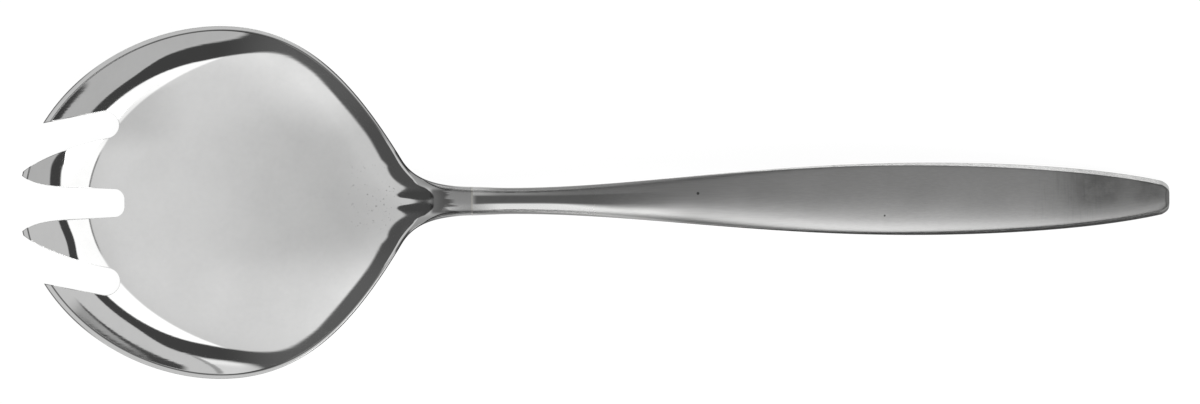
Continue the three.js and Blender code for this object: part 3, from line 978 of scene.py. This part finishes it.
satin, s = new_material("satin_steel")
place = s.out("ShaderNodeTexCoord", output=3)
axes = s.node("ShaderNodeSeparateXYZ", Vector=place)
lengthwise, crosswise = (Shade(s.tree, axes.outputs[i]) / MM for i in (0, 1))
across = s.out("ShaderNodeAttribute", {"attribute_name": "across"}, output=2)
stretched = s.out("ShaderNodeMapping", Vector=place, Scale=(40, 5000, 5000))
grain = s.out("ShaderNodeTexNoise", Vector=stretched, Scale=1.0, Detail=3.0)
clouds = s.out("ShaderNodeTexNoise", Vector=place, Scale=120.0, Detail=4.0)
wide = s.out("ShaderNodeMapping", Vector=place, Scale=(3000, 150, 150))
cross_marks = s.out("ShaderNodeTexNoise", Vector=wide, Scale=1.0, Detail=2.0)
mottles = s.out("ShaderNodeTexNoise", Vector=place, Scale=420.0, Detail=5.0, Roughness=0.65)


def spot(x, y, radius):
    from_x, from_y = lengthwise - x, crosswise - y
    return s.math("SQRT", from_x * from_x + from_y * from_y).step(radius, radius * 0.6)


patches = abs(lengthwise - 100).step(9, 1) + abs(lengthwise - 110).step(5, 0)
patches = patches * across.step(-0.7, 0.1) * mottles.step(0.35, 0.65).blend(0.55, 1.0)
marks = abs(lengthwise - 94).step(9, 4) * cross_marks.step(0.5, 0.75)
nicks = s.math("MINIMUM", spot(19.9, 1.3, 0.35) + spot(57, -3.3, 0.25), 1.0)
wear = (1 - patches * PATCH_SHADE) * (1 - marks * CROSS_SHADE) * (1 - nicks * NICK_SHADE)
bump = s.out("ShaderNodeBump", Height=grain + cross_marks * 0.3, Strength=0.12, Distance=0.0001)
print("satin wear in", len(satin.node_tree.nodes), "nodes")

# %% [markdown]
# Behind the joint the handle is as smooth as the neck and mirrors the room, and the stripes of that mirror
# image are painted into the colour: painted shade as a dark streak along its crest, a painted highlight on
# one flank, a paler painted reflection on the other and a painted dark line at the foot. They fade as the
# finish turns to satin. The filed chamfer has a painted highlight on the far side and a painted dark line on
# the near one, and the near edge has a faint painted highlight.

# %% Handle finish
BASE_TONE = 0.2
PAINTED_PALE_FLANK = 0.12
PALE_START = 0.22
PAINTED_FLANK_WHITE = 0.9
PAINTED_FOOT_SHADE = 0.55
PAINTED_STREAK_SHADE = 0.4
TIP_SHADE = 0.2
PAINTED_EDGE_HIGHLIGHT = 0.07
PAINTED_CHAMFER_HIGHLIGHT = 0.3
PAINTED_DARK_LINE = 0.12
NECK_SMOOTH = 0.14
SATIN_ROUGH = 0.38
JOINT_ROUGH = 0.1
CHAMFER_ROUGH = 0.15

filed = s.out("ShaderNodeAttribute", {"attribute_name": "filed"}, output=2)
# Painted reflections near the neck: painted shade along the crest, a painted highlight and a painted dark
# foot on the -Y side, and a pale painted flank on the +Y side.
near_neck = lengthwise.step(20, -5)
painted_crest_shade = across.step(-0.27, -0.17) * across.step(0.44, 0.32) * near_neck
painted_crest_shade = painted_crest_shade * lengthwise.step(-25.2, -23.8)
drift = across + (lengthwise + 20) * 0.006
softening = lengthwise.step(-12, 8)
flank_rise = (softening.blend(-0.1, -0.24) - across) / softening.blend(0.15, 0.45)
painted_flank_highlight = flank_rise.step(0.0, 1.0) * drift.step(-0.88, -0.74)
painted_flank_highlight = painted_flank_highlight * near_neck * lengthwise.step(-26, -19)
painted_foot_shade = drift.step(-0.7, -0.78) * drift.step(-1.0, -0.9) * near_neck
painted_pale_flank = across.step(0.42, 0.5) * across.step(0.78, 0.66) * lengthwise.step(-4, -18)
pale_start = lengthwise.step(-18, -25) * (1 - painted_crest_shade)
on_chamfer = filed.step(0.0, 0.1)
# Painted shade: a dark line on the outer part of the near (-Y) chamfer.
painted_dark_line = filed.step(0.3, 0.55) * across.step(0.2, -0.2) * lengthwise.step(40, 95).blend(0.5, 1.0)
tone = BASE_TONE + (grain - 0.5) * 0.05 + (clouds - 0.5) * 0.04
tone = tone + painted_pale_flank * PAINTED_PALE_FLANK + pale_start * PALE_START
tone = painted_flank_highlight.blend(tone, PAINTED_FLANK_WHITE) * (1 - painted_foot_shade * PAINTED_FOOT_SHADE)
tone = tone * (1 - painted_crest_shade * PAINTED_STREAK_SHADE) * (1 - lengthwise.step(86, 98) * TIP_SHADE) * wear
# Painted highlights: a light band along the near edge and a light far (+Y) chamfer.
tone = tone + across.step(-0.5, -0.95) * PAINTED_EDGE_HIGHLIGHT + on_chamfer * across.step(-0.2, 0.2) * PAINTED_CHAMFER_HIGHLIGHT
tone = painted_dark_line.blend(tone, PAINTED_DARK_LINE)
grey = s.out("ShaderNodeCombineColor", Red=tone, Green=tone, Blue=tone * 0.99)
polish = lengthwise.step(-20, 15).blend(NECK_SMOOTH, SATIN_ROUGH) + lengthwise.step(-18, -25) * JOINT_ROUGH
roughness = on_chamfer.blend(polish + (clouds - 0.5) * 0.06, CHAMFER_ROUGH)
steel = s.out("ShaderNodeBsdfPrincipled", Base_Color=grey, Metallic=1.0, Roughness=roughness, Normal=bump)
show(s, steel)
handle.data.materials.append(satin)
print("satin finish with", len(satin.node_tree.nodes), "nodes")

# %% [markdown]
# ## Brazing filler
# The filler shows as a hairline at the joint. It was filed flush with the neck, so it is as smooth as the
# steel beside it, but softer and a little warmer, with a fine mottled grain.

# %% Filler finish
filler, s = new_material("braze_metal")
place = s.out("ShaderNodeTexCoord", output=3)
mottle = s.out("ShaderNodeTexNoise", Vector=place, Scale=1500.0, Detail=3.0)
tone = mottle.blend(0.36, 0.44)
warm = s.out("ShaderNodeCombineColor", Red=tone, Green=tone * 0.98, Blue=tone * 0.93)
roughness = mottle.blend(0.18, 0.3)
metal = s.out("ShaderNodeBsdfPrincipled", Base_Color=warm, Metallic=1.0, Roughness=roughness)
show(s, metal)
braze.data.materials.append(filler)
print("filler finish with", len(filler.node_tree.nodes), "nodes")
